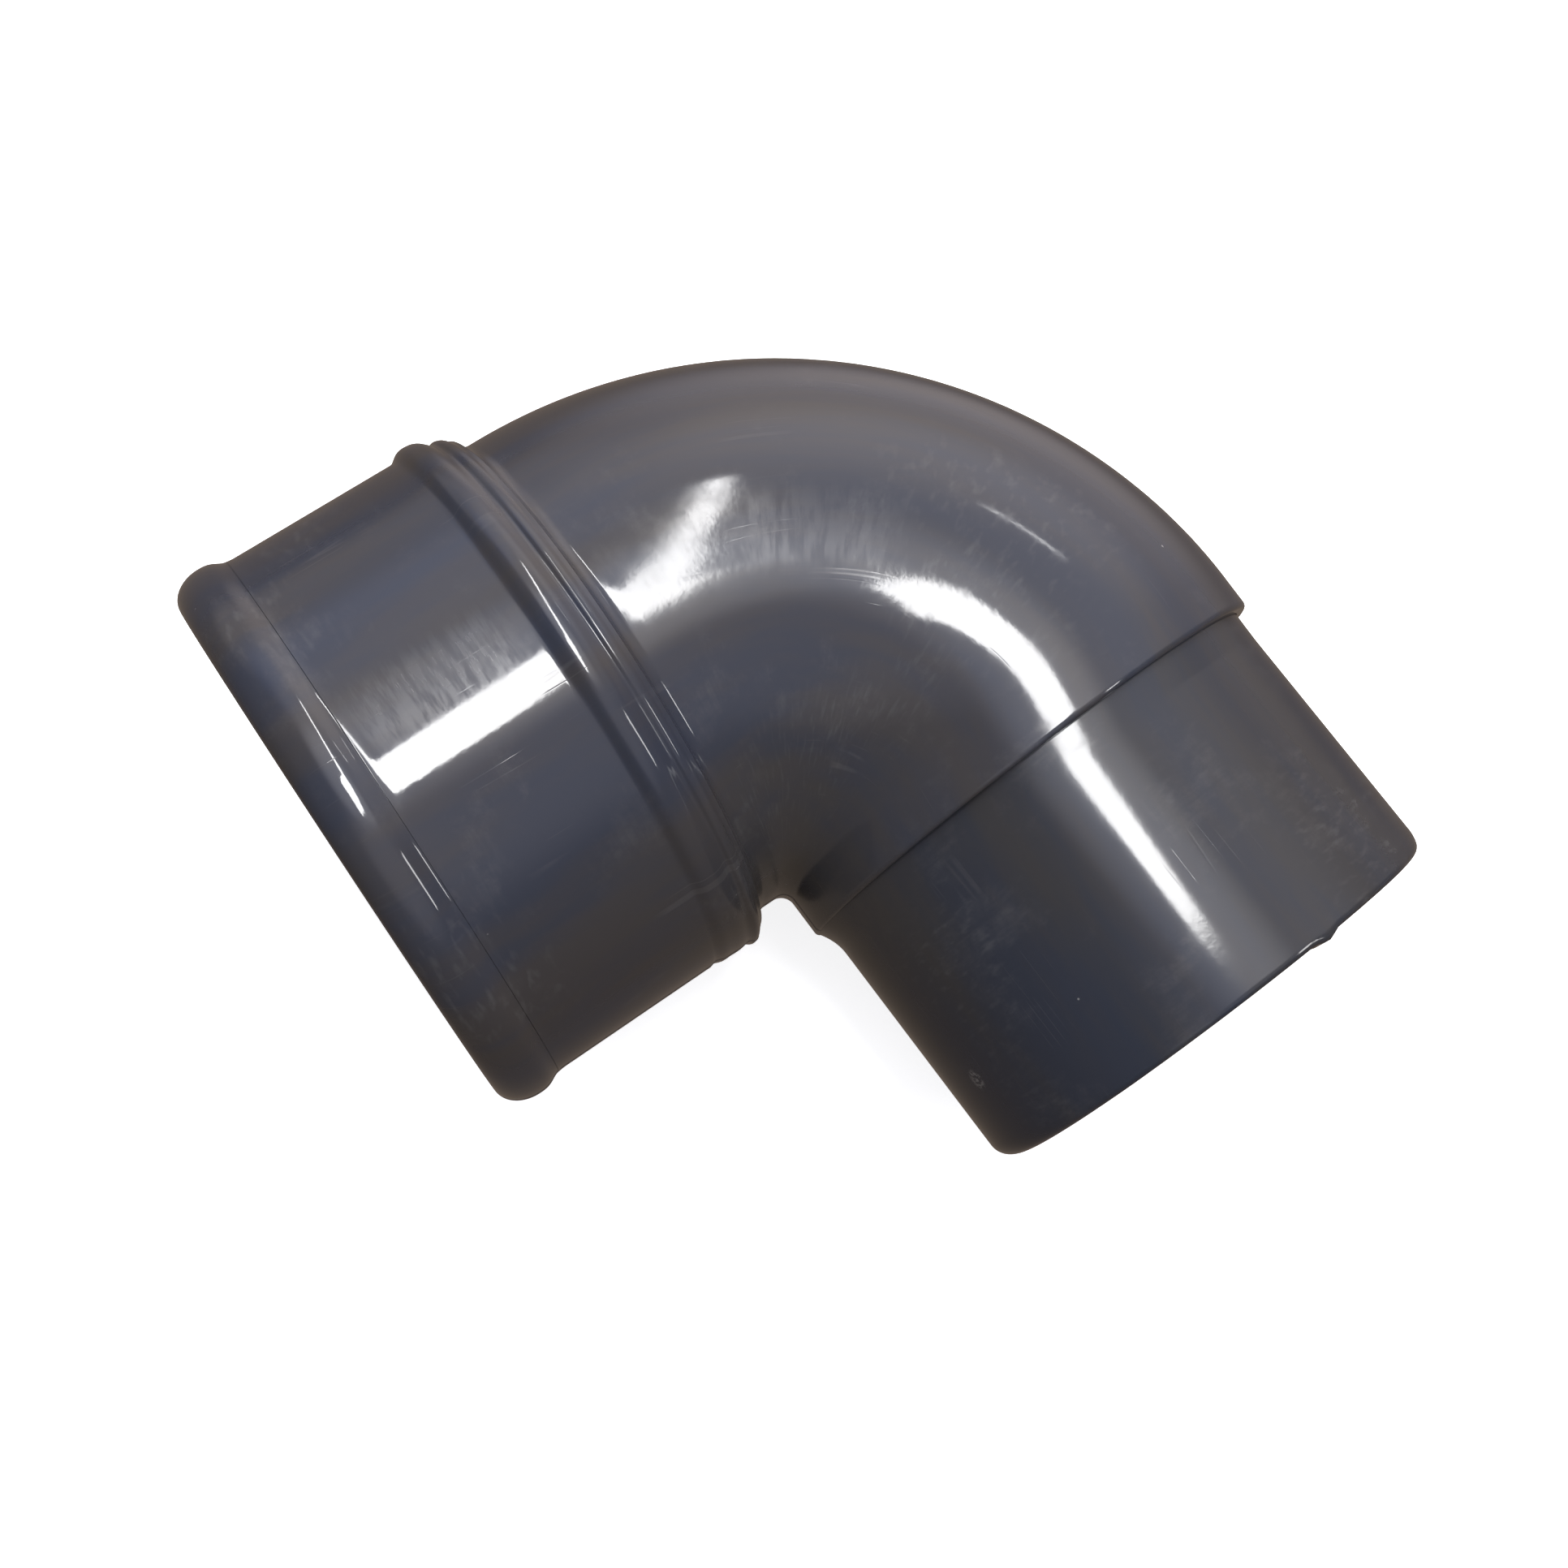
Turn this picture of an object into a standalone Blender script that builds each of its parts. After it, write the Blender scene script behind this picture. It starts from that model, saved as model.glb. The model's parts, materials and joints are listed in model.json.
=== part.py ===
"""Push-fit PVC elbow for 50 mm pipe, 87.5 degrees, socket to spigot.

The elbow lies on its side, as it rests on a floor: on the two beads round its socket and on the
lower edge of its spigot. Local frame of the elbow, before it is laid down: the socket axis is X,
the bend starts at the origin and turns towards -Y, and the plane of the bend is XY. A distance
along the centre line is measured from the start of the bend, so it is negative in the socket.
"""

import math

import bmesh
import bpy
from mathutils import Matrix, Vector

MM = 0.001
GAP = 0.3 * MM                      # between pieces that touch
SIDES = 48                          # flats round every turned or swept surface

# Driving dimensions
PIPE_RADIUS = 25.0 * MM             # outside of the 50 mm pipe that the spigot copies
WALL = 3.0 * MM                     # of the spigot tube
SWEEP = math.radians(87.5)
BEND_CENTRE_RADIUS = 27.6 * MM      # centre line of the bend
BEND_RADIUS = 26.4 * MM             # outside of the bend where it starts
OUTLET_RADIUS = 26.3 * MM           # outside of the bend where it ends
BEND_BORE = 23.0 * MM
SOCKET_RADIUS = 28.5 * MM
SOCKET_BORE = PIPE_RADIUS + 0.2 * MM
BEAD_RADIUS = 29.35 * MM            # crest of both beads
MOUTH = -32.0 * MM                  # the open end of the socket
PIPE_STOP = -4.5 * MM               # where an inserted pipe's end comes to rest
BEND_STEPS = 14

# Mouth of the socket: a lip on the body carries the retaining ring, which holds the seal
RING_FOOT = -26.1 * MM
LIP_RADIUS = 27.3 * MM
LIP_END = -28.2 * MM
FLANGE_THICKNESS = 1.1 * MM
FLANGE_BORE = 25.5 * MM
RIM_RADIUS = 26.7 * MM              # outer edge of the flat rim
SEAL_LIP_RADIUS = 24.6 * MM

# Spigot, measured from the edge of the outlet
OUTLET_STRAIGHT = 4.0 * MM          # straight collar between the bend and the outlet's edge
OUTLET_CHAMFER = 0.8 * MM
SPIGOT_INSERTION = 8.0 * MM
SPIGOT_LENGTH = 28.0 * MM
SPIGOT_ROUNDING = 2.0 * MM

ARC_LENGTH = BEND_CENTRE_RADIUS * SWEEP
OUTLET_EDGE = ARC_LENGTH + OUTLET_STRAIGHT
SPIGOT_END = OUTLET_EDGE + SPIGOT_LENGTH

# Colours
GREY_PVC = (0.082, 0.085, 0.105)
SPIGOT_PVC = (0.078, 0.081, 0.099)
BLACK_RUBBER = (0.012, 0.012, 0.013)


def clear_scene():
    for item in list(bpy.data.objects):
        bpy.data.objects.remove(item, do_unlink=True)


def make_collection(name):
    collection = bpy.data.collections.new(name)
    bpy.context.scene.collection.children.link(collection)
    return collection


def make_material(name, colour, roughness):
    material = bpy.data.materials.new(name)
    material.use_nodes = True
    shader = material.node_tree.nodes["Principled BSDF"]
    shader.inputs["Base Color"].default_value = (*colour, 1.0)
    shader.inputs["Roughness"].default_value = roughness
    shader.inputs["Metallic"].default_value = 0.0
    return material


def centre_line(distance):
    """Point of the elbow's centre line, straight, then the arc, then straight."""
    if distance <= 0.0:
        return Vector((distance, 0.0, 0.0))
    turned = min(distance, ARC_LENGTH) / BEND_CENTRE_RADIUS
    along_arc = Vector((math.sin(turned), math.cos(turned) - 1.0, 0.0)) * BEND_CENTRE_RADIUS
    heading = Vector((math.cos(turned), -math.sin(turned), 0.0))
    return along_arc + heading * max(0.0, distance - ARC_LENGTH)


def arc(centre, radii, start, end, steps):
    """Points (distance, radius) on an ellipse arc; angles in degrees from the +distance side."""
    points = []
    for step in range(steps + 1):
        angle = math.radians(start + (end - start) * step / steps)
        points.append((centre[0] + radii[0] * math.cos(angle), centre[1] + radii[1] * math.sin(angle)))
    return points


def bump(start, end, foot_start, foot_end, height, steps):
    """A rounded ridge between two distances, as a half sine on a straight foot."""
    points = []
    for step in range(1, steps):
        part = step / steps
        foot = foot_start + (foot_end - foot_start) * part
        points.append((start + (end - start) * part, foot + height * math.sin(math.pi * part)))
    return points


def finish_object(item, collection, material=None):
    collection.objects.link(item)
    if material is not None:
        item.data.materials.append(material)
    item.data.shade_smooth()
    item.data.set_sharp_from_angle(angle=math.radians(40.0))
    return item


def swept(name, stations, collection, material=None):
    """Closed round solid along the centre line, from its (distance, radius) stations."""
    curve = bpy.data.curves.new(name + "_path", "CURVE")
    curve.dimensions = "3D"
    curve.twist_mode = "Z_UP"
    curve.bevel_depth = 1.0
    curve.bevel_resolution = (SIDES - 4) // 2
    curve.use_fill_caps = True
    spline = curve.splines.new("POLY")
    spline.points.add(len(stations) - 1)
    for point, (distance, radius) in zip(spline.points, stations):
        point.co = (*centre_line(distance), 1.0)
        point.radius = radius
    path = bpy.data.objects.new(name + "_path", curve)
    bpy.context.scene.collection.objects.link(path)
    evaluated = path.evaluated_get(bpy.context.evaluated_depsgraph_get())
    mesh = bpy.data.meshes.new_from_object(evaluated)
    mesh.name = name
    weld = bmesh.new()
    weld.from_mesh(mesh)
    bmesh.ops.remove_doubles(weld, verts=weld.verts, dist=0.001 * MM)
    bmesh.ops.recalc_face_normals(weld, faces=weld.faces)
    weld.to_mesh(mesh)
    weld.free()
    bpy.data.objects.remove(path, do_unlink=True)
    return finish_object(bpy.data.objects.new(name, mesh), collection, material)


def turned(name, outline, heading, place, collection, material):
    """Closed ring from its (distance, radius) outline, round an axis in the plane of the bend."""
    mesh = bpy.data.meshes.new(name)
    points = [(radius, 0.0, distance) for distance, radius in outline]
    edges = [(index, (index + 1) % len(points)) for index in range(len(points))]
    mesh.from_pydata(points, edges, [])
    ring = finish_object(bpy.data.objects.new(name, mesh), collection, material)
    ring.location = place
    ring.rotation_euler = (0.0, math.radians(90.0), heading)
    screw = ring.modifiers.new("turn", "SCREW")
    screw.axis = "Z"
    screw.steps = SIDES
    screw.render_steps = SIDES
    screw.use_merge_vertices = True
    screw.merge_threshold = 0.01 * MM
    return ring


def cylinder_cutter(name, start, end, radius, collection):
    """Straight round cutter between two distances, on the line of the second one."""
    top = centre_line(end)
    heading = (centre_line(end) - centre_line(end - 0.1 * MM)).normalized()
    length = end - start
    turn = heading.to_track_quat("Z", "Y").to_matrix().to_4x4()
    shape = bmesh.new()
    bmesh.ops.create_cone(
        shape,
        cap_ends=True,
        segments=SIDES,
        radius1=radius,
        radius2=radius,
        depth=length,
        matrix=Matrix.Translation(top - heading * length / 2.0) @ turn,
    )
    mesh = bpy.data.meshes.new(name)
    shape.to_mesh(mesh)
    shape.free()
    return finish_object(bpy.data.objects.new(name, mesh), collection)


def cut(target, cutter):
    cutter.hide_render = True
    cutter.display_type = "WIRE"
    boolean = target.modifiers.new("cut_" + cutter.name, "BOOLEAN")
    boolean.operation = "DIFFERENCE"
    boolean.solver = "EXACT"
    boolean.object = cutter


def inner_bead():
    """Double-ridged bead over the pipe stop, then a hollow fillet down to the bend."""
    start = -8.4 * MM
    valley = -4.4 * MM
    valley_radius = 28.2 * MM
    second_ridge = 0.3 * MM
    shoulder = -3.0 * MM
    shoulder_radius = 27.8 * MM
    fillet = 1.5 * MM
    fillet_end = -1.2 * MM
    main_ridge = BEAD_RADIUS - (SOCKET_RADIUS + valley_radius) / 2.0
    points = [(start, SOCKET_RADIUS)]
    points += bump(start, valley, SOCKET_RADIUS, valley_radius, main_ridge, 8)
    points += [(valley, valley_radius)]
    points += bump(valley, shoulder, valley_radius, shoulder_radius, second_ridge, 4)
    points += [(shoulder, shoulder_radius)]
    points += arc((fillet_end, BEND_RADIUS + fillet), (fillet, fillet), 190.0, 270.0, 4)
    return points


def make_elbow_body(parts, cutters, material):
    """Socket, beads and bend in one moulding, open right through."""
    step = 0.05 * MM
    stations = [(LIP_END, LIP_RADIUS), (RING_FOOT - step, LIP_RADIUS), (RING_FOOT, SOCKET_RADIUS)]
    stations += inner_bead()
    for index in range(BEND_STEPS + 1):
        part = index / BEND_STEPS
        radius = BEND_RADIUS + (OUTLET_RADIUS - BEND_RADIUS) * part
        stations.append((ARC_LENGTH * part, radius))
    stations.append((OUTLET_EDGE - OUTLET_CHAMFER, OUTLET_RADIUS))
    stations.append((OUTLET_EDGE, OUTLET_RADIUS - OUTLET_CHAMFER * 0.75))
    body = swept("elbow_body", stations, parts, material)

    overrun = 5.0 * MM
    bore_path = [PIPE_STOP - overrun]
    bore_path += [ARC_LENGTH * index / BEND_STEPS for index in range(BEND_STEPS + 1)]
    bore_path += [OUTLET_EDGE + overrun]
    bore = swept("bend_bore", [(distance, BEND_BORE) for distance in bore_path], cutters)
    socket = cylinder_cutter("socket_bore", LIP_END - overrun, PIPE_STOP, SOCKET_BORE, cutters)
    outlet = cylinder_cutter(
        "outlet_bore",
        OUTLET_EDGE - SPIGOT_INSERTION,
        OUTLET_EDGE + overrun,
        PIPE_RADIUS + GAP,
        cutters,
    )
    for cutter in (bore, socket, outlet):
        cut(body, cutter)
    return body


def make_spigot_tube(parts, material):
    """Short pipe cemented into the outlet, with a rounded end; distances from the outlet's edge."""
    start = GAP - SPIGOT_INSERTION
    bore = PIPE_RADIUS - WALL
    corner = (SPIGOT_LENGTH - SPIGOT_ROUNDING, PIPE_RADIUS - SPIGOT_ROUNDING)
    outline = arc(corner, (SPIGOT_ROUNDING, SPIGOT_ROUNDING), 0.0, 90.0, 6)
    outline += [(start, PIPE_RADIUS), (start, bore), (SPIGOT_LENGTH, bore)]
    return turned("spigot_tube", outline, -SWEEP, centre_line(OUTLET_EDGE), parts, material)


def make_retaining_ring(parts, material):
    """Ring cemented over the lip: it forms the bead at the mouth and traps the seal."""
    foot = RING_FOOT - GAP
    inside = LIP_RADIUS + GAP
    flange = MOUTH + FLANGE_THICKNESS
    shoulder = MOUTH + 1.3 * MM
    shoulder_radius = 28.25 * MM
    ridge = BEAD_RADIUS - (SOCKET_RADIUS + shoulder_radius) / 2.0
    outline = [(foot, SOCKET_RADIUS)]
    outline += bump(foot, shoulder, SOCKET_RADIUS, shoulder_radius, ridge, 8)
    outline += [(shoulder, shoulder_radius)]
    corner_size = (shoulder - MOUTH, shoulder_radius - RIM_RADIUS)
    outline += arc((shoulder, RIM_RADIUS), corner_size, 110.0, 180.0, 4)
    outline += [(MOUTH, FLANGE_BORE), (flange, FLANGE_BORE), (flange, inside), (foot, inside)]
    return turned("seal_retaining_ring", outline, 0.0, centre_line(0.0), parts, material)


def make_seal_ring(parts, material):
    """Rubber ring in the pocket behind the flange, with a lip that wipes the pipe."""
    back = LIP_END - GAP
    front = MOUTH + FLANGE_THICKNESS + GAP
    heel = LIP_RADIUS
    waist = 26.2 * MM
    lip_width = 0.7 * MM
    outline = [
        (back, heel),
        (front, heel),
        (front, waist),
        (front + lip_width, waist - 0.5 * MM),
        (back - lip_width, SEAL_LIP_RADIUS),
        (back, SEAL_LIP_RADIUS + 0.2 * MM),
        (back - 0.3 * MM, waist),
        (back, waist + 0.3 * MM),
    ]
    return turned("seal_ring", outline, 0.0, centre_line(0.0), parts, material)


def resting_angle():
    """Tilt about the socket axis at which the spigot's end touches the floor with the beads."""
    contact = centre_line(SPIGOT_END - SPIGOT_ROUNDING)
    reach = math.hypot(contact.y, PIPE_RADIUS)
    return math.asin(BEAD_RADIUS / reach) - math.atan2(PIPE_RADIUS, -contact.y)


def lay_down(pieces, cutters):
    """Tilt the elbow onto its spigot and stand the box of its pieces on the origin."""
    frame = bpy.data.objects.new("elbow_frame", None)
    bpy.context.scene.collection.objects.link(frame)
    for item in pieces + cutters:
        item.parent = frame
    frame.rotation_euler = (resting_angle(), 0.0, 0.0)
    bpy.context.view_layer.update()
    graph = bpy.context.evaluated_depsgraph_get()
    corners = []
    for piece in pieces:
        solid = piece.evaluated_get(graph)
        corners += [solid.matrix_world @ vertex.co for vertex in solid.data.vertices]
    low = [min(corner[axis] for corner in corners) for axis in range(3)]
    high = [max(corner[axis] for corner in corners) for axis in range(3)]
    frame.location = (-(low[0] + high[0]) / 2.0, -(low[1] + high[1]) / 2.0, -low[2])
    bpy.context.view_layer.update()


def main():
    clear_scene()
    parts = make_collection("pvc_elbow_fitting")
    cutters = make_collection("cutters")
    body_plastic = make_material("grey_pvc", GREY_PVC, 0.22)
    spigot_plastic = make_material("spigot_pvc", SPIGOT_PVC, 0.28)
    rubber = make_material("black_rubber", BLACK_RUBBER, 0.6)
    pieces = [
        make_elbow_body(parts, cutters, body_plastic),
        make_spigot_tube(parts, spigot_plastic),
        make_retaining_ring(parts, body_plastic),
        make_seal_ring(parts, rubber),
    ]
    lay_down(pieces, list(cutters.objects))


main()
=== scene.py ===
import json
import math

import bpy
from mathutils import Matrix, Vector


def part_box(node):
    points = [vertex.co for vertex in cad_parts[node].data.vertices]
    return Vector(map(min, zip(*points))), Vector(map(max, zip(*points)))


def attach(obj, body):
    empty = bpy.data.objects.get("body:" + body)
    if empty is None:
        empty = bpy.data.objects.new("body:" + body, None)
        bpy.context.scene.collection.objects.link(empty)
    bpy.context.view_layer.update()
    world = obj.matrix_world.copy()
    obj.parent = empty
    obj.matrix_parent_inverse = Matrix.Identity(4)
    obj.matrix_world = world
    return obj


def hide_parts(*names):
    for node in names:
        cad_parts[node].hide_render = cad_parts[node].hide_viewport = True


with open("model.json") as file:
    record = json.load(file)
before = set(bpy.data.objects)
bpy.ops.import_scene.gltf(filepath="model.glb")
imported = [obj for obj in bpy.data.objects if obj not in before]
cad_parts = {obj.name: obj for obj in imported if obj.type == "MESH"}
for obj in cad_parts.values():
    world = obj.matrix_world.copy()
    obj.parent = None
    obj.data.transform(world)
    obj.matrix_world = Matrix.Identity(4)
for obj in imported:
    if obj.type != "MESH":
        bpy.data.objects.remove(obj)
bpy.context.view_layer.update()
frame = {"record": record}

# Looks of the PVC elbow fitting. Every CAD piece is replaced by a finely meshed one of the same
# size, with the small roundings, beads and mould marks of the real moulding. In the elbow's own
# frame the socket axis is X and the bend starts at the origin and turns towards -Y. Distances run
# along the centre line from the start of the bend. Angles run round the tube: 0 on the outside of
# the bend, 90 degrees on top, 180 degrees in the crook.

MM = 0.001

# Sizes of the CAD model, except that the bead crests and the outlet are a hair smaller, so that
# everything stays inside the CAD model's box
PIPE_RADIUS = 25.0 * MM
WALL = 3.0 * MM
SWEEP = math.radians(87.5)
BEND_CENTRE_RADIUS = 27.6 * MM
BEND_RADIUS = 26.4 * MM
OUTLET_RADIUS = 26.24 * MM
BEND_BORE = 23.0 * MM
SOCKET_RADIUS = 28.5 * MM
SOCKET_BORE = 25.2 * MM
BEAD_RADIUS = 29.28 * MM
MOUTH = -32.0 * MM
PIPE_STOP = -4.5 * MM
RING_FOOT = -26.1 * MM
LIP_RADIUS = 27.3 * MM
LIP_END = -28.2 * MM
FLANGE_THICKNESS = 1.1 * MM
FLANGE_BORE = 25.5 * MM
RIM_RADIUS = 26.7 * MM
SEAL_LIP_RADIUS = 24.6 * MM
OUTLET_STRAIGHT = 4.0 * MM
SPIGOT_INSERTION = 8.0 * MM
SPIGOT_LENGTH = 28.0 * MM
SPIGOT_ROUNDING = 2.0 * MM

ARC_LENGTH = BEND_CENTRE_RADIUS * SWEEP
OUTLET_EDGE = ARC_LENGTH + OUTLET_STRAIGHT
SPIGOT_END = OUTLET_EDGE + SPIGOT_LENGTH

# Fineness of the meshes
SIDES = 224
BEND_STEPS = 72
FOOT_STEPS = 9
MAIN_RIDGE_STEPS = 20
SECOND_RIDGE_STEPS = 10
RING_BEAD_STEPS = 28                # over a whole bead, of which the ring has the half at its foot

# Fine detail
JOINT_GAP = 0.06 * MM               # visible line where two pieces meet
RING_GAP = 0.02 * MM                # and where the mouth ring meets the socket
PARTING_HEIGHT = 0.045 * MM         # ridge left where the mould halves met
PARTING_WIDTH = 0.16 * MM
CROWN_SHIFT = 1.8 * MM              # top and bottom of the bend lie outside its centre line
CROWN_DROP = 0.4 * MM               # the bend's section is this much flatter at its outlet
CROOK_FLAT = 0.75 * MM              # the inner bead is this much lower in the crook of the bend
CROOK_FILL = 0.45 * MM              # and the groove beside it is filled in
FOOT_RISE = 0.08 * MM               # the socket swells this much towards the mouth ring
FOOT_LENGTH = 0.9 * MM
RING_CREST = MOUTH + 3.4 * MM
CEMENT_HEIGHT = 1.0 * MM            # fillet of cement in the crook, on the spigot
CEMENT_LENGTH = 3.0 * MM
SAW_SLANT = 0.4 * MM                # the top of the spigot's end is cut this much shorter
TOP_ROUNDING = 0.6 * MM             # and its edge is sharper there
BURR_LENGTH = 0.4 * MM              # left by the saw on the spigot's edge
BURR_WIDTH = 1.7 * MM
BURR_ANGLE = math.radians(79.0)

# Inner bead: a main ridge, a valley, a second ridge, a shoulder, then a fillet down to the bend
MAIN_RIDGE_START = -8.4 * MM
VALLEY = (-4.4 * MM, 28.2 * MM)     # distance, radius
SHOULDER = (-3.0 * MM, 27.8 * MM)
SECOND_RIDGE_HEIGHT = 0.3 * MM
FILLET_END = -1.2 * MM
FILLET_RADIUS = 1.5 * MM

GREY_PVC = (0.040, 0.041, 0.050)
SPIGOT_PVC = (0.031, 0.033, 0.041)
BLACK_RUBBER = (0.012, 0.012, 0.013)
PVC_IOR = 1.53
SCUFF = (66.0 * MM, math.radians(163.5))     # distance and angle of the spot on the spigot

# Rubbed patches on top of the socket and of the bend, also paler in colour beside the lamp's highlights as
# a painted sheen:
# middle along the centre line, angle, half length, half width, strength
RUBBED_AND_SHEEN = [
    (-17.8 * MM, math.radians(86.3), 9.5 * MM, 4.2 * MM, 1.0),
    (18.0 * MM, math.radians(88.0), 8.5 * MM, 5.5 * MM, 0.4),
]

# Camera, in the elbow's own frame
LENS = 46.09                        # millimetres, on a sensor 36 wide
CAMERA_PLACE = Vector((-29.93, -44.76, 189.58)) * MM
CAMERA_TARGET = Vector((7.02, -17.66, 0.0)) * MM
CAMERA_UP = Vector((0.539, 0.813, 0.221))

# Studio. Directions are degrees to the right (+X) and to the back (+Y) of straight up.
LAMP_HEIGHT = 0.9
LAMP_RADIANCE = 24.0
LAMP_CORNERS = [
    (-1.8, -9.4), (4.6, -8.6), (7.4, -4.8), (11.0, 1.0), (10.8, 3.5), (12.8, 9.5), (14.6, 16.0),
    (24.6, 36.0), (22.4, 37.2), (12.1, 18.0), (6.5, 6.0), (3.0, 5.5), (-1.2, 3.5),
]
SMALL_LAMPS = [
    # name, direction of each end, width in degrees, radiance
    ("side_lamp", (43.0, 20.0), (46.0, 12.0), 1.3, 12.0),
    ("low_lamp", (31.0, -26.0), (33.0, -48.0), 6.0, 11.0),
]
ROOM_ABOVE = (0.16, 0.17, 0.20)
ROOM_BELOW = (0.19, 0.15, 0.12)
ROOM_GLOWS = [
    # direction, half angle, colour added at the middle
    ((33.0, 26.0), 54.0, (1.02, 0.98, 1.0)),
    ((66.0, 52.0), 52.0, (0.78, 0.69, 0.65)),
    ((3.0, 6.0), 28.0, (1.3, 1.3, 1.4)),
    ((0.0, 52.0), 24.0, (0.02, 0.1, 0.3)),
    ((-6.0, 74.0), 30.0, (0.42, 0.39, 0.38)),
    ((14.0, -5.0), 15.0, (0.5, 0.5, 0.5)),
    ((-4.0, -30.0), 42.0, (0.48, 0.46, 0.50)),
]
FLOOR_REACH = 3.0


def fraction(value):
    """The value, kept between 0 and 1."""
    return min(max(value, 0.0), 1.0)


def centre_line(distance):
    """Point of the elbow's centre line, straight, then the arc, then straight."""
    if distance <= 0.0:
        return Vector((distance, 0.0, 0.0))
    turned = min(distance, ARC_LENGTH) / BEND_CENTRE_RADIUS
    along_arc = Vector((math.sin(turned), math.cos(turned) - 1.0, 0.0)) * BEND_CENTRE_RADIUS
    heading = Vector((math.cos(turned), -math.sin(turned), 0.0))
    return along_arc + heading * max(0.0, distance - ARC_LENGTH)


def crown_shift(distance):
    """How far the crown of the bend lies outside its centre line: most after half of the bend."""
    rise = fraction(distance / (0.75 * ARC_LENGTH))
    fall = fraction((OUTLET_EDGE + 3.0 * MM - distance) / (0.3 * ARC_LENGTH))
    return CROWN_SHIFT * math.sin(math.pi * rise / 2.0) ** 2 * math.sin(math.pi * fall / 2.0)


def crown_drop(distance):
    """How much flatter the section is, top to bottom, than a circle: rises through the bend."""
    part = fraction((distance / ARC_LENGTH - 0.1) / 0.65)
    return CROWN_DROP * part * part * (3.0 - 2.0 * part)


def outward(distance):
    """Unit vector in the plane of the bend, away from the bend's centre."""
    turned = min(max(distance, 0.0), ARC_LENGTH) / BEND_CENTRE_RADIUS
    return Vector((math.sin(turned), math.cos(turned), 0.0))


def row_matrix():
    """Place of the elbow's own frame in the row's frame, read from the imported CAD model."""
    low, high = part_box("seal_retaining_ring")
    start = Vector((low[0] - MOUTH, (low[1] + high[1]) / 2.0, (low[2] + high[2]) / 2.0))
    spigot = next(mount for mount in frame["record"]["mounts"] if mount["name"] == "spigot_end")
    dip = math.atan2(-spigot["axis"][2], -spigot["axis"][1])
    return Matrix.Translation(start) @ Matrix.Rotation(dip, 4, "X")


ROW = row_matrix()


# Outlines: lists of (distance, radius)

def arc(centre, radii, start, end, steps):
    """Points on an ellipse arc; angles in degrees from the +distance side."""
    points = []
    for step in range(steps + 1):
        angle = math.radians(start + (end - start) * step / steps)
        points.append((centre[0] + radii[0] * math.cos(angle), centre[1] + radii[1] * math.sin(angle)))
    return points


def bump(start, end, height, steps):
    """A ridge between two points, broad at its crest and hollow at its feet, without its ends."""
    points = []
    for step in range(1, steps):
        part = step / steps
        foot = start[1] + (end[1] - start[1]) * part
        wave = math.sin(math.pi * part)
        rise = 0.3 * wave ** 1.25 + 0.7 * wave * wave * (3.0 - 2.0 * wave)
        points.append((start[0] + (end[0] - start[0]) * part, foot + height * rise))
    return points


def rounded(corners, support=0.12 * MM):
    """Outline through (distance, radius, rounding) corners, each one rounded off by an arc."""
    points = []
    count = len(corners)
    for index, (distance, radius, rounding) in enumerate(corners):
        here = Vector((distance, radius))
        if rounding == 0.0:
            points.append(tuple(here))
            continue
        before = Vector(corners[index - 1][:2]) - here
        after = Vector(corners[(index + 1) % count][:2]) - here
        into = before.normalized()
        out = after.normalized()
        half = into.angle(out) / 2.0
        setback = rounding / math.tan(half)
        middle = here + (into + out).normalized() * rounding / math.sin(half)
        start = here + into * setback - middle
        turn = math.pi - 2.0 * half
        if into.x * out.y - into.y * out.x > 0.0:
            turn = -turn
        if before.length > setback + 2.0 * support:
            points.append(tuple(here + into * (setback + support)))
        for step in range(7):
            angle = turn * step / 6
            spun = Matrix.Rotation(angle, 2) @ start
            points.append(tuple(middle + spun))
        if after.length > setback + 2.0 * support:
            points.append(tuple(here + out * (setback + support)))
    return points


def inner_bead():
    """Double-ridged bead over the pipe stop, then a hollow fillet down to the bend."""
    start = (MAIN_RIDGE_START, SOCKET_RADIUS)
    height = BEAD_RADIUS - (SOCKET_RADIUS + VALLEY[1]) / 2.0
    points = [(MAIN_RIDGE_START - 0.3 * MM, SOCKET_RADIUS), start]
    points += bump(start, VALLEY, height, MAIN_RIDGE_STEPS)
    points += [VALLEY]
    points += bump(VALLEY, SHOULDER, SECOND_RIDGE_HEIGHT, SECOND_RIDGE_STEPS)
    points += [SHOULDER]
    centre = (FILLET_END, BEND_RADIUS + FILLET_RADIUS)
    points += arc(centre, (FILLET_RADIUS, FILLET_RADIUS), 190.0, 270.0, 12)
    return points


# Meshes

def hump(value, middle, half_width):
    """1 at the middle, falling smoothly to 0 at half_width on either side."""
    part = min(abs(value - middle) / half_width, 1.0)
    return (1.0 + math.cos(math.pi * part)) / 2.0


def parting_relief(distance, angle):
    """Height of the mould's parting line, on the two sides that lie in the plane of the bend."""
    offset = min(abs(angle), abs(abs(angle) - math.pi)) * SOCKET_RADIUS
    return PARTING_HEIGHT * hump(offset, 0.0, PARTING_WIDTH)


def body_relief(distance, angle):
    """Parting line, and the inner bead's flatter stretch in the crook of the bend."""
    in_crook = max(0.0, -math.cos(angle)) ** 4
    flat = CROOK_FLAT * hump(distance, -6.6 * MM, 2.8 * MM)
    filled = CROOK_FILL * hump(distance, -3.9 * MM, 1.9 * MM)
    return parting_relief(distance, angle) + in_crook * (filled - flat)


def rounded_off(distance, rounding):
    """Radius lost to the rounding of the spigot's end."""
    inside = fraction((distance - SPIGOT_END + rounding) / rounding)
    return rounding - rounding * math.sqrt(1.0 - inside ** 2)


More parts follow.
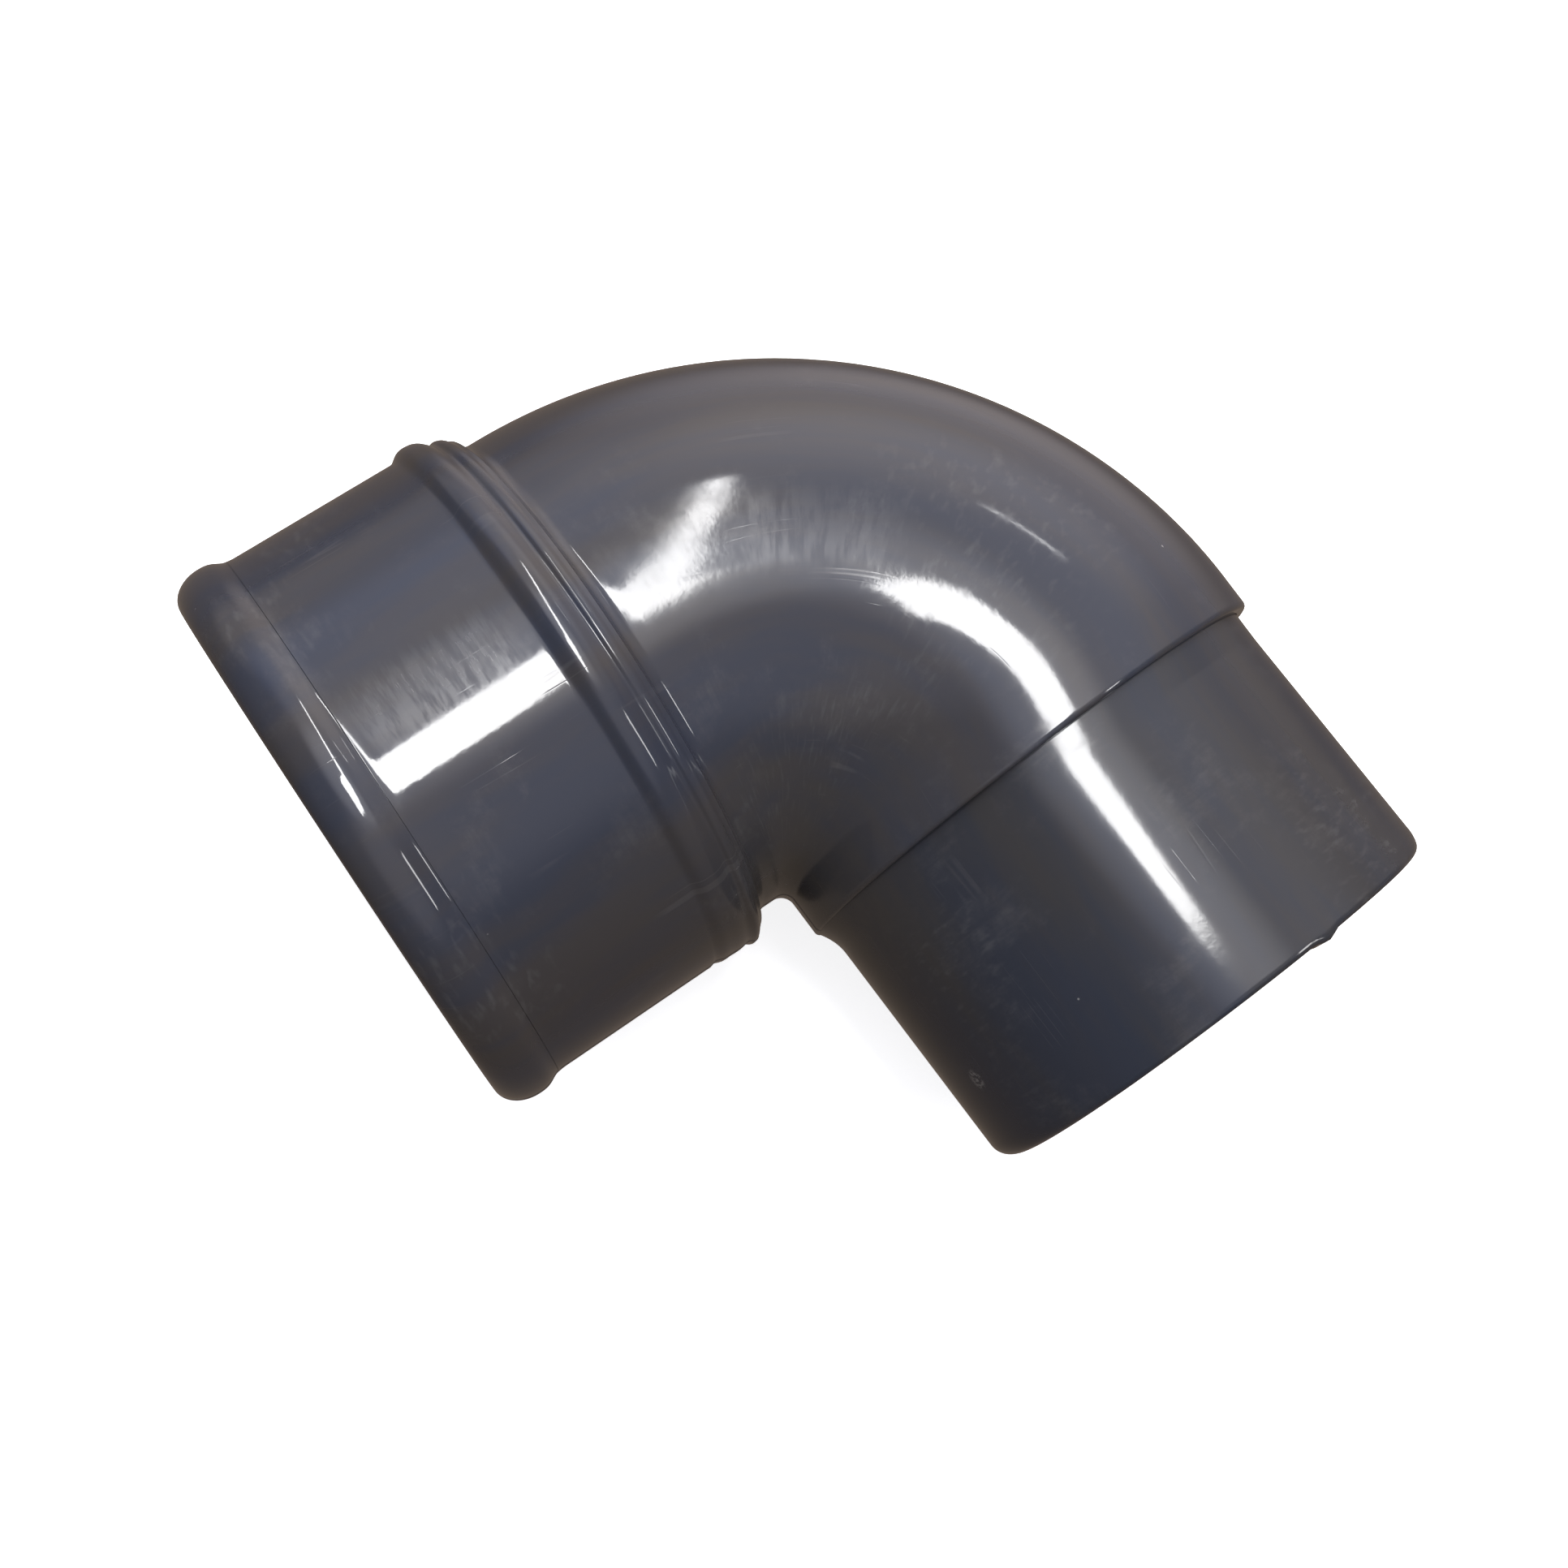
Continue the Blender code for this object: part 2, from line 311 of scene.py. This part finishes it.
def spigot_relief(distance, angle):
    """Fillet of solvent cement in the crook, and the sharper edge on top of the end."""
    cement = 0.0
    if distance >= OUTLET_EDGE:
        left = fraction(1.0 - (distance - OUTLET_EDGE) / CEMENT_LENGTH)
        cement = CEMENT_HEIGHT * left ** 2 * max(0.0, -math.cos(angle)) ** 6
    sharper = rounded_off(distance, SPIGOT_ROUNDING) - rounded_off(distance, TOP_ROUNDING)
    return cement + sharper * fraction(1.3 * math.sin(angle))


def spigot_cut(distance, angle):
    """Shift along the spigot: the saw's slanted cut, and the burr that it left on the edge."""
    near_end = fraction((distance - SPIGOT_END + 4.0 * MM) / (2.0 * MM))
    burr = hump(angle, BURR_ANGLE, BURR_WIDTH / PIPE_RADIUS) * hump(distance, SPIGOT_END, 0.9 * MM)
    return BURR_LENGTH * burr - SAW_SLANT * near_end * max(0.0, math.sin(angle))


def no_cut(distance, angle):
    """No shift anywhere."""
    return 0.0


def ring_angles():
    """Angles round the tube, from the underside; closer together at the parting lines."""
    angles = [-math.pi / 2.0 + 2.0 * math.pi * step / SIDES for step in range(SIDES)]
    for middle in (0.0, math.pi):
        for step in (-2, -1, 1, 2):
            angles.append(middle + step * 0.5 * PARTING_WIDTH / SOCKET_RADIUS)
    return sorted(angles)


def skin_vertex(distance, radius, angle, relief, cut):
    """Place of one vertex in the row's frame; relief is None inside the tube."""
    wrapped = (angle + math.pi) % (2.0 * math.pi) - math.pi
    out = outward(distance)
    side = out * math.cos(angle) + Vector((0.0, 0.0, 1.0)) * math.sin(angle)
    if relief is not None:
        radius += relief(distance, wrapped)
        side += out * crown_shift(distance) / radius * math.sin(angle) ** 2
        side.z *= 1.0 - crown_drop(distance) / radius
    return ROW @ (centre_line(distance + cut(distance, wrapped)) + side * radius)


def skin(name, outline, outside=(), relief=parting_relief, cut=no_cut):
    """Closed ring from its outline, swept along the centre line, with relief on its outside."""
    angles = ring_angles()
    around = len(angles)
    vertices = []
    for index, (distance, radius) in enumerate(outline):
        here = relief if index in outside else None
        for angle in angles:
            vertices.append(skin_vertex(distance, radius, angle, here, cut))
    faces = []
    uvs = []
    rows = len(outline)
    for row in range(rows):
        following = (row + 1) % rows
        start = outline[row][0]
        end = outline[following][0]
        for column in range(around):
            beside = (column + 1) % around
            faces.append((
                row * around + column,
                row * around + beside,
                following * around + beside,
                following * around + column,
            ))
            left = angles[column] * SOCKET_RADIUS
            right = (angles[beside] + (0.0 if beside else 2.0 * math.pi)) * SOCKET_RADIUS
            uvs += [(start, left), (start, right), (end, right), (end, left)]
    mesh = bpy.data.meshes.new(name)
    mesh.from_pydata(vertices, [], faces)
    layer = mesh.uv_layers.new(name="along_and_round")
    for loop, uv in zip(layer.data, uvs):
        loop.uv = uv
    mesh.shade_smooth()
    mesh.set_sharp_from_angle(angle=math.radians(35.0))
    item = bpy.data.objects.new(name, mesh)
    bpy.context.scene.collection.objects.link(item)
    return item


def socket_foot(past):
    """Radius of the socket so far past the mouth ring's foot, where it swells to meet the ring."""
    left = max(0.0, 1.0 - past / FOOT_LENGTH)
    return SOCKET_RADIUS + FOOT_RISE * left * left


def make_elbow_body():
    near = FOOT_LENGTH / FOOT_STEPS
    outline = rounded([
        (LIP_END, SOCKET_BORE, 0.0),
        (LIP_END, LIP_RADIUS, 0.2 * MM),
        (RING_FOOT, LIP_RADIUS, 0.0),
        (RING_FOOT, socket_foot(0.0), 0.03 * MM),
        (RING_FOOT + near, socket_foot(near), 0.0),
    ])
    first = len(outline)
    for step in range(2, FOOT_STEPS + 1):
        past = near * step
        outline.append((RING_FOOT + past, socket_foot(past)))
    outline += inner_bead()
    for step in range(BEND_STEPS + 1):
        part = step / BEND_STEPS
        outline.append((ARC_LENGTH * part, BEND_RADIUS + (OUTLET_RADIUS - BEND_RADIUS) * part))
    outline += rounded([
        (ARC_LENGTH, OUTLET_RADIUS, 0.0),
        (OUTLET_EDGE, OUTLET_RADIUS, 0.5 * MM),
        (OUTLET_EDGE, PIPE_RADIUS + JOINT_GAP, 0.05 * MM),
        (OUTLET_EDGE - SPIGOT_INSERTION, PIPE_RADIUS + JOINT_GAP, 0.0),
    ])[1:]
    last = len(outline)
    outline.append((OUTLET_EDGE - SPIGOT_INSERTION, BEND_BORE))
    for step in range(BEND_STEPS, -1, -1):
        outline.append((ARC_LENGTH * step / BEND_STEPS, BEND_BORE))
    outline += rounded([
        (0.0, BEND_BORE, 0.0),
        (PIPE_STOP, BEND_BORE, 0.3 * MM),
        (PIPE_STOP, SOCKET_BORE, 0.3 * MM),
        (LIP_END, SOCKET_BORE, 0.0),
    ])[1:-1]
    return skin("elbow_moulding", outline, range(first, last), body_relief)


def make_spigot():
    start = OUTLET_EDGE - SPIGOT_INSERTION + JOINT_GAP
    bore = PIPE_RADIUS - WALL
    outline = [(start, PIPE_RADIUS)]
    cement_steps = 12
    for step in range(cement_steps + 1):
        outline.append((OUTLET_EDGE + CEMENT_LENGTH * step / cement_steps, PIPE_RADIUS))
    corner = (SPIGOT_END - SPIGOT_ROUNDING, PIPE_RADIUS - SPIGOT_ROUNDING)
    outline.append((corner[0] - 0.15 * MM, PIPE_RADIUS))
    outline += arc(corner, (SPIGOT_ROUNDING, SPIGOT_ROUNDING), 90.0, 0.0, 20)
    last = len(outline)
    outline += rounded([
        (SPIGOT_END, PIPE_RADIUS, 0.0),
        (SPIGOT_END, bore, 0.25 * MM),
        (start, bore, 0.3 * MM),
        (start, PIPE_RADIUS, 0.0),
    ])[1:-1]
    return skin("spigot_pipe", outline, range(last), spigot_relief, spigot_cut)


def make_retaining_ring():
    foot = RING_FOOT - RING_GAP
    inside = LIP_RADIUS + JOINT_GAP
    flange = MOUTH + FLANGE_THICKNESS
    base = socket_foot(0.0)
    chamfer = 0.02 * MM
    outline = [(foot, inside), (foot, base - chamfer), (foot - chamfer, base)]
    far_foot = (2.0 * RING_CREST - foot, base)
    bead = bump(outline[-1], far_foot, BEAD_RADIUS - base, RING_BEAD_STEPS)
    outline += bead[:RING_BEAD_STEPS // 2]
    radii = (RING_CREST - MOUTH, BEAD_RADIUS - RIM_RADIUS)
    outline += arc((RING_CREST, RIM_RADIUS), radii, 95.0, 180.0, 20)
    last = len(outline)
    outline += [(MOUTH, RIM_RADIUS - 0.12 * MM)]
    outline += rounded([
        (MOUTH, RIM_RADIUS, 0.0),
        (MOUTH, FLANGE_BORE, 0.2 * MM),
        (flange, FLANGE_BORE, 0.1 * MM),
        (flange, inside, 0.0),
    ])[1:]
    return skin("mouth_ring", outline, range(1, last))


def make_seal():
    back = LIP_END - JOINT_GAP
    front = MOUTH + FLANGE_THICKNESS + JOINT_GAP
    waist = 26.2 * MM
    lip_width = 0.7 * MM
    outline = rounded([
        (back, LIP_RADIUS, 0.15 * MM),
        (back, waist + 0.3 * MM, 0.0),
        (back - 0.3 * MM, waist, 0.1 * MM),
        (back, SEAL_LIP_RADIUS + 0.2 * MM, 0.08 * MM),
        (back - lip_width, SEAL_LIP_RADIUS, 0.1 * MM),
        (front + lip_width, waist - 0.5 * MM, 0.3 * MM),
        (front, waist, 0.1 * MM),
        (front, LIP_RADIUS, 0.15 * MM),
    ][::-1])
    return skin("rubber_seal", outline)


# Materials

class Nodes:
    """Short ways of adding and linking the nodes of one material."""

    def __init__(self, name):
        self.material = bpy.data.materials.new(name)
        self.material.use_nodes = True
        self.tree = self.material.node_tree
        self.shader = self.tree.nodes["Principled BSDF"]

    def add(self, kind, values=None, **settings):
        node = self.tree.nodes.new("ShaderNode" + kind)
        for key, value in settings.items():
            setattr(node, key, value)
        for key, value in (values or {}).items():
            self.feed(node.inputs[key], value)
        return node

    def feed(self, socket, value):
        if isinstance(value, bpy.types.NodeSocket):
            self.tree.links.new(value, socket)
        else:
            socket.default_value = value

    def math(self, operation, *values):
        node = self.add("Math", operation=operation)
        for socket, value in zip(node.inputs, values):
            self.feed(socket, value)
        return node.outputs["Value"]

    def scaled(self, vector, scale, turn=0.0):
        values = {"Vector": vector, "Scale": scale, "Rotation": (0.0, 0.0, turn)}
        return self.add("Mapping", values).outputs["Vector"]

    def noise(self, vector, scale, detail=3.0, roughness=0.5):
        values = {"Vector": vector, "Scale": scale, "Detail": detail, "Roughness": roughness}
        return self.add("TexNoise", values).outputs["Fac"]

    def ramp(self, value, low, high, to_low=0.0, to_high=1.0):
        values = {"Value": value, "From Min": low, "From Max": high, "To Min": to_low,
                  "To Max": to_high}
        return self.add("MapRange", values, interpolation_type="SMOOTHSTEP").outputs["Result"]

    def mix(self, factor, first, second):
        node = self.add("Mix", data_type="RGBA")
        for socket, value in ((node.inputs[0], factor), (node.inputs[6], first), (node.inputs[7], second)):
            self.feed(socket, value)
        return node.outputs[2]

    def scratches(self, vector, turn, length, width, amount):
        """Fine lines that run one way: thin level lines of a noise drawn out along them."""
        drawn = self.scaled(vector, (1.0 / length, 1.0 / width, 1.0), turn)
        level = self.noise(drawn, 1.0, 1.0)
        line = self.ramp(self.math("ABSOLUTE", self.math("SUBTRACT", level, 0.5)), 0.0, 0.009, 1.0, 0.0)
        patchy = self.noise(self.scaled(vector, (1.0, 1.0, 1.0), turn + 0.7), 75.0, 3.0)
        return self.math("MULTIPLY", line, self.ramp(patchy, 1.0 - amount, 1.10 - amount))


def make_pvc(name, colour, gloss, wear):
    """Moulded PVC: mottled grey that is partly a painted reflection, with smudges, hairline scratches,
    dust, rubbed patches with a painted sheen, painted warm light in the crook, and a wavy skin.

    gloss is the roughness of the clean skin, and wear the amount of marks on it."""
    net = Nodes(name)
    place = net.add("TexCoord")
    solid = place.outputs["Object"]
    along = place.outputs["UV"]
    mark = net.add("SeparateXYZ", {"Vector": along})

    # colour: cool and warm greys in bands along the moulding, a tone that varies at random and is also a
    # painted reflection of the room's blue and brown tints, with a pale film of handling
    cool = (colour[0] * 0.86, colour[1] * 0.93, colour[2] * 1.08, 1.0)
    warm = (colour[0] * 1.20, colour[1] * 1.06, colour[2] * 0.88, 1.0)
    tint_and_reflection_bands = net.noise(net.scaled(along, (0.22, 1.0, 1.0)), 95.0, 4.0, 0.55)
    base = net.mix(net.ramp(tint_and_reflection_bands, 0.36, 0.66), cool, warm)
    film = net.ramp(net.noise(solid, 95.0, 7.0, 0.7), 0.50, 0.80)
    wiped = net.noise(net.scaled(along, (1100.0, 45.0, 1.0)), 1.0, 4.0, 0.6)
    film = net.math("MULTIPLY", film, net.ramp(wiped, 0.28, 0.72, 0.25, 1.0))
    base = net.mix(net.math("MULTIPLY", film, 0.26 * wear), base, (0.17, 0.16, 0.155, 1.0))

    # finger smudges, short and across the moulding, in patches
    smears = net.noise(net.scaled(along, (1250.0, 420.0, 1.0), 0.15), 1.0, 2.0, 0.45)
    smeared = net.ramp(net.noise(solid, 48.0), 0.50, 0.68)
    smears = net.math("MULTIPLY", net.ramp(smears, 0.50, 0.80), smeared)
    base = net.mix(net.math("MULTIPLY", smears, 0.20 * wear), base, (0.17, 0.17, 0.17, 1.0))

    # brownish dust where a cloth doesn't reach, in the crook of the bend; its paler, warm colour is also
    # painted warm light that lifts the crook's shade
    aside = net.math("ABSOLUTE", net.math("SUBTRACT", mark.outputs["Y"], math.pi * SOCKET_RADIUS))
    crook = net.ramp(aside, 6.0 * MM, 30.0 * MM, 1.0, 0.0)
    reach = net.math("ABSOLUTE", net.math("SUBTRACT", mark.outputs["X"], 0.5 * OUTLET_EDGE))
    crook = net.math("MULTIPLY", crook, net.ramp(reach, 20.0 * MM, 42.0 * MM, 1.0, 0.0))
    paler_tone = net.math("MULTIPLY", crook, net.ramp(net.noise(solid, 240.0, 5.0, 0.6), 0.2, 0.7, 0.5, 1.0))
    # painted light: the crook turns paler and warmer here
    base = net.mix(net.math("MULTIPLY", paler_tone, 0.75), base, (0.064, 0.056, 0.046, 1.0))

    # specks of dust
    cells = net.add("TexVoronoi", {"Vector": solid, "Scale": 360.0, "Randomness": 1.0})
    dot = net.ramp(cells.outputs["Distance"], 0.02, 0.065, 1.0, 0.0)
    chosen = net.add("SeparateColor", {"Color": cells.outputs["Color"]})
    speck = net.math("MULTIPLY", dot, net.math("GREATER_THAN", chosen.outputs["Red"], 0.93))
    base = net.mix(net.math("MULTIPLY", speck, 0.8), base, (0.32, 0.31, 0.30, 1.0))

    # hairline scratches along, across and askew
    lines = net.scratches(along, 0.12, 0.160, 0.0030, 0.42)
    for turn, length, width, amount in ((1.45, 0.110, 0.0034, 0.40), (0.60, 0.120, 0.0040, 0.40),
                                        (-0.85, 0.110, 0.0036, 0.38)):
        lines = net.math("MAXIMUM", lines, net.scratches(along, turn, length, width, amount))
    base = net.mix(net.math("MULTIPLY", lines, 0.10 * wear), base, (0.20, 0.19, 0.19, 1.0))

    # rubbed patches, with strokes across: rougher, and paler in colour as a painted sheen beside the
    # highlights
    strokes = net.noise(net.scaled(along, (1500.0, 260.0, 1.0), 0.25), 1.0, 3.0, 0.6)
    rubbed_and_sheen = None
    for middle, angle, half_length, half_width, strength in RUBBED_AND_SHEEN:
        past = net.math("ABSOLUTE", net.math("SUBTRACT", mark.outputs["X"], middle))
        off = net.math("ABSOLUTE", net.math("SUBTRACT", mark.outputs["Y"], angle * SOCKET_RADIUS))
        patch = net.math("MULTIPLY", net.ramp(past, 0.5 * half_length, half_length, strength, 0.0),
                         net.ramp(off, 0.3 * half_width, half_width, 1.0, 0.0))
        rubbed_and_sheen = patch if rubbed_and_sheen is None else net.math("MAXIMUM", rubbed_and_sheen, patch)
    rubbed_and_sheen = net.math("MULTIPLY", rubbed_and_sheen, net.ramp(strokes, 0.36, 0.60, 0.25, 1.0))
    # painted sheen: the rubbed patches get a paler base colour
    base = net.mix(net.math("MULTIPLY", rubbed_and_sheen, 0.13), base, (0.20, 0.20, 0.20, 1.0))

    # a scuffed spot low on the spigot's side, near its end
    spot = net.add("CombineXYZ", {"X": SCUFF[0], "Y": SCUFF[1] * SOCKET_RADIUS})
    away = net.add("VectorMath", {0: along, 1: spot.outputs["Vector"]}, operation="DISTANCE")
    scuff = net.ramp(net.noise(solid, 2200.0, 3.0, 0.7), 0.42, 0.58)
    scuff = net.math("MULTIPLY", scuff, net.ramp(away.outputs["Value"], 0.5 * MM, 1.3 * MM, 1.0, 0.0))
    base = net.mix(net.math("MULTIPLY", scuff, 0.7), base, (0.26, 0.25, 0.24, 1.0))
    net.feed(net.shader.inputs["Base Color"], base)

    # gloss: rougher under the film and the dust, and in the scratches
    rough = net.ramp(net.noise(solid, 60.0, 5.0, 0.6), 0.30, 0.75, gloss - 0.03, gloss + 0.03)
    for factor, amount in ((film, 0.13 * wear), (smears, 0.12), (lines, 0.08), (speck, 0.3),
                           (paler_tone, 0.14), (rubbed_and_sheen, 0.20)):
        rough = net.math("ADD", rough, net.math("MULTIPLY", factor, amount))
    net.feed(net.shader.inputs["Roughness"], rough)
    net.shader.inputs["IOR"].default_value = PVC_IOR

    # skin: long waves along the moulding, a fine orange peel, and the scratches
    waves = net.noise(net.scaled(along, (14.0, 160.0, 1.0)), 1.0, 2.0)
    skin_bump = net.add("Bump", {"Height": waves, "Distance": 0.00002 * wear, "Strength": 1.0})
    peel = net.add("Bump", {"Height": net.noise(solid, 1500.0, 2.0), "Distance": 0.000003,
                            "Strength": 1.0, "Normal": skin_bump.outputs["Normal"]})
    cut = net.add("Bump", {"Height": net.math("SUBTRACT", net.math("MULTIPLY", speck, 3.0), lines),
                           "Distance": 0.000005, "Strength": 1.0, "Normal": peel.outputs["Normal"]})
    net.feed(net.shader.inputs["Normal"], cut.outputs["Normal"])
    return net.material


def make_rubber():
    """Matt black rubber with a fine grain and a grey bloom."""
    net = Nodes("black_rubber_fine")
    solid = net.add("TexCoord").outputs["Object"]
    bloom = net.ramp(net.noise(solid, 260.0, 5.0, 0.65), 0.42, 0.75)
    paler_tone = tuple(channel * 3.0 for channel in BLACK_RUBBER)
    net.feed(net.shader.inputs["Base Color"], net.mix(bloom, (*BLACK_RUBBER, 1.0), (*paler_tone, 1.0)))
    net.feed(net.shader.inputs["Roughness"], net.ramp(net.noise(solid, 700.0), 0.3, 0.7, 0.5, 0.72))
    grain = net.add("Bump", {"Height": net.noise(solid, 3800.0, 4.0), "Distance": 0.00002,
                             "Strength": 0.8})
    net.feed(net.shader.inputs["Normal"], grain.outputs["Normal"])
    return net.material


# Studio

def aim(item, place, target, up):
    """Points an object's -Z axis at the target, with its +Y axis towards up."""
    back = (place - target).normalized()
    right = up.cross(back).normalized()
    turned = Matrix((right, back.cross(right), back)).transposed()
    item.matrix_world = Matrix.Translation(place) @ turned.to_4x4()


def make_camera():
    data = bpy.data.cameras.new("camera")
    data.sensor_width = 36.0
    data.lens = LENS
    camera = bpy.data.objects.new("camera", data)
    bpy.context.scene.collection.objects.link(camera)
    aim(camera, ROW @ CAMERA_PLACE, ROW @ CAMERA_TARGET, ROW.to_3x3() @ CAMERA_UP)
    bpy.context.scene.camera = camera


def sky_direction(right, back):
    """Unit vector whose angle from straight up is the length of (right, back), in degrees."""
    slope = math.radians(math.hypot(right, back))
    turn = math.atan2(back, right)
    return Vector((math.sin(slope) * math.cos(turn), math.sin(slope) * math.sin(turn), math.cos(slope)))


def sky_point(right, back):
    """Point in that direction from the elbow, at LAMP_HEIGHT."""
    direction = sky_direction(right, back)
    return direction * (LAMP_HEIGHT / direction.z)


def lamp_panel(corners, radiance):
    """Flat glowing panel; its corners are directions in degrees."""
    points = [sky_point(*corner) for corner in corners]
    mesh = bpy.data.meshes.new("lamp_panel")
    mesh.from_pydata(points, [], [tuple(range(len(points)))])
    panel = bpy.data.objects.new("lamp_panel", mesh)
    bpy.context.scene.collection.objects.link(panel)
    net = Nodes("lamp_glow")
    net.shader.inputs["Emission Color"].default_value = (1.0, 1.0, 1.0, 1.0)
    net.shader.inputs["Emission Strength"].default_value = radiance
    panel.data.materials.append(net.material)


def lamp(name, start, end, width, radiance):
    """Flat lamp between two directions, facing down; its width is what the elbow sees, in degrees."""
    near_end = sky_point(*start)
    far_end = sky_point(*end)
    middle = (near_end + far_end) / 2.0
    along = far_end - near_end
    data = bpy.data.lights.new(name, "AREA")
    data.shape = "RECTANGLE"
    data.size = 2.0 * middle.length * math.tan(math.radians(width / 2.0))
    data.size_y = along.length
    data.energy = radiance * math.pi * data.size * data.size_y
    light = bpy.data.objects.new(name, data)
    bpy.context.scene.collection.objects.link(light)
    aim(light, middle, middle - Vector((0.0, 0.0, 1.0)), along.normalized())


def make_lights():
    """A panel, overhead at its wide end and running to the back and right, and two small lamps."""
    lamp_panel(LAMP_CORNERS, LAMP_RADIANCE)
    for small_lamp in SMALL_LAMPS:
        lamp(*small_lamp)


def make_world():
    """Soft room light: dim all round, with broad glows from the sides the lamps light up."""
    world = bpy.data.worlds.new("studio")
    world.use_nodes = True
    nodes = world.node_tree.nodes
    links = world.node_tree.links
    place = nodes.new("ShaderNodeTexCoord")
    total = nodes.new("ShaderNodeSeparateXYZ")
    links.new(place.outputs["Generated"], total.inputs["Vector"])
    height = nodes.new("ShaderNodeMapRange")
    height.inputs["From Min"].default_value = -0.6
    height.inputs["From Max"].default_value = 0.6
    links.new(total.outputs["Z"], height.inputs["Value"])
    base = nodes.new("ShaderNodeMix")
    base.data_type = "RGBA"
    base.inputs["A"].default_value = (*ROOM_BELOW, 1.0)
    base.inputs["B"].default_value = (*ROOM_ABOVE, 1.0)
    links.new(height.outputs["Result"], base.inputs["Factor"])
    colour = base.outputs["Result"]
    for direction, half_angle, tint in ROOM_GLOWS:
        near = nodes.new("ShaderNodeVectorMath")
        near.operation = "DOT_PRODUCT"
        near.inputs[1].default_value = sky_direction(*direction)
        links.new(place.outputs["Generated"], near.inputs[0])
        fade = nodes.new("ShaderNodeMapRange")
        fade.interpolation_type = "SMOOTHERSTEP"
        fade.inputs["From Min"].default_value = math.cos(math.radians(half_angle))
        links.new(near.outputs["Value"], fade.inputs["Value"])
        add = nodes.new("ShaderNodeMix")
        add.data_type = "RGBA"
        add.blend_type = "ADD"
        links.new(fade.outputs["Result"], add.inputs["Factor"])
        links.new(colour, add.inputs["A"])
        add.inputs["B"].default_value = (*tint, 1.0)
        colour = add.outputs["Result"]
    room = nodes["Background"]
    links.new(colour, room.inputs["Color"])
    backdrop = nodes.new("ShaderNodeBackground")
    backdrop.inputs["Color"].default_value = (1.0, 1.0, 1.0, 1.0)
    path = nodes.new("ShaderNodeLightPath")
    choose = nodes.new("ShaderNodeMixShader")
    links.new(path.outputs["Is Camera Ray"], choose.inputs["Fac"])
    links.new(room.outputs["Background"], choose.inputs[1])
    links.new(backdrop.outputs["Background"], choose.inputs[2])
    links.new(choose.outputs["Shader"], nodes["World Output"].inputs["Surface"])
    bpy.context.scene.world = world


def make_floor():
    """Pale floor that glows a little, so that it looks as white as the backdrop behind it."""
    mesh = bpy.data.meshes.new("floor")
    corners = [(FLOOR_REACH * x, FLOOR_REACH * y, 0.0) for x, y in ((-1, -1), (1, -1), (1, 1), (-1, 1))]
    mesh.from_pydata(corners, [], [(0, 1, 2, 3)])
    floor = bpy.data.objects.new("floor", mesh)
    bpy.context.scene.collection.objects.link(floor)
    net = Nodes("pale_floor")
    net.shader.inputs["Base Color"].default_value = (0.9, 0.9, 0.9, 1.0)
    net.shader.inputs["Roughness"].default_value = 0.8
    net.shader.inputs["Emission Color"].default_value = (1.0, 1.0, 1.0, 1.0)
    net.shader.inputs["Emission Strength"].default_value = 0.8
    floor.data.materials.append(net.material)
    floor.visible_diffuse = False
    floor.visible_glossy = False


def main():
    body_pvc = make_pvc("grey_pvc_fine", GREY_PVC, gloss=0.08, wear=1.0)
    spigot_pvc = make_pvc("spigot_pvc_fine", SPIGOT_PVC, gloss=0.10, wear=0.8)
    rubber = make_rubber()
    pieces = [
        (make_elbow_body(), "elbow_body", body_pvc, "grey_pvc"),
        (make_spigot(), "spigot_tube", spigot_pvc, "spigot_pvc"),
        (make_retaining_ring(), "seal_retaining_ring", body_pvc, "grey_pvc"),
        (make_seal(), "seal_ring", rubber, "black_rubber"),
    ]
    for piece, node, material, slot in pieces:
        piece.data.materials.append(material)
        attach(piece, "root")
        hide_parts(node)
    make_camera()
    make_lights()
    make_world()
    make_floor()
    bpy.context.scene.view_settings.view_transform = "Standard"


main()
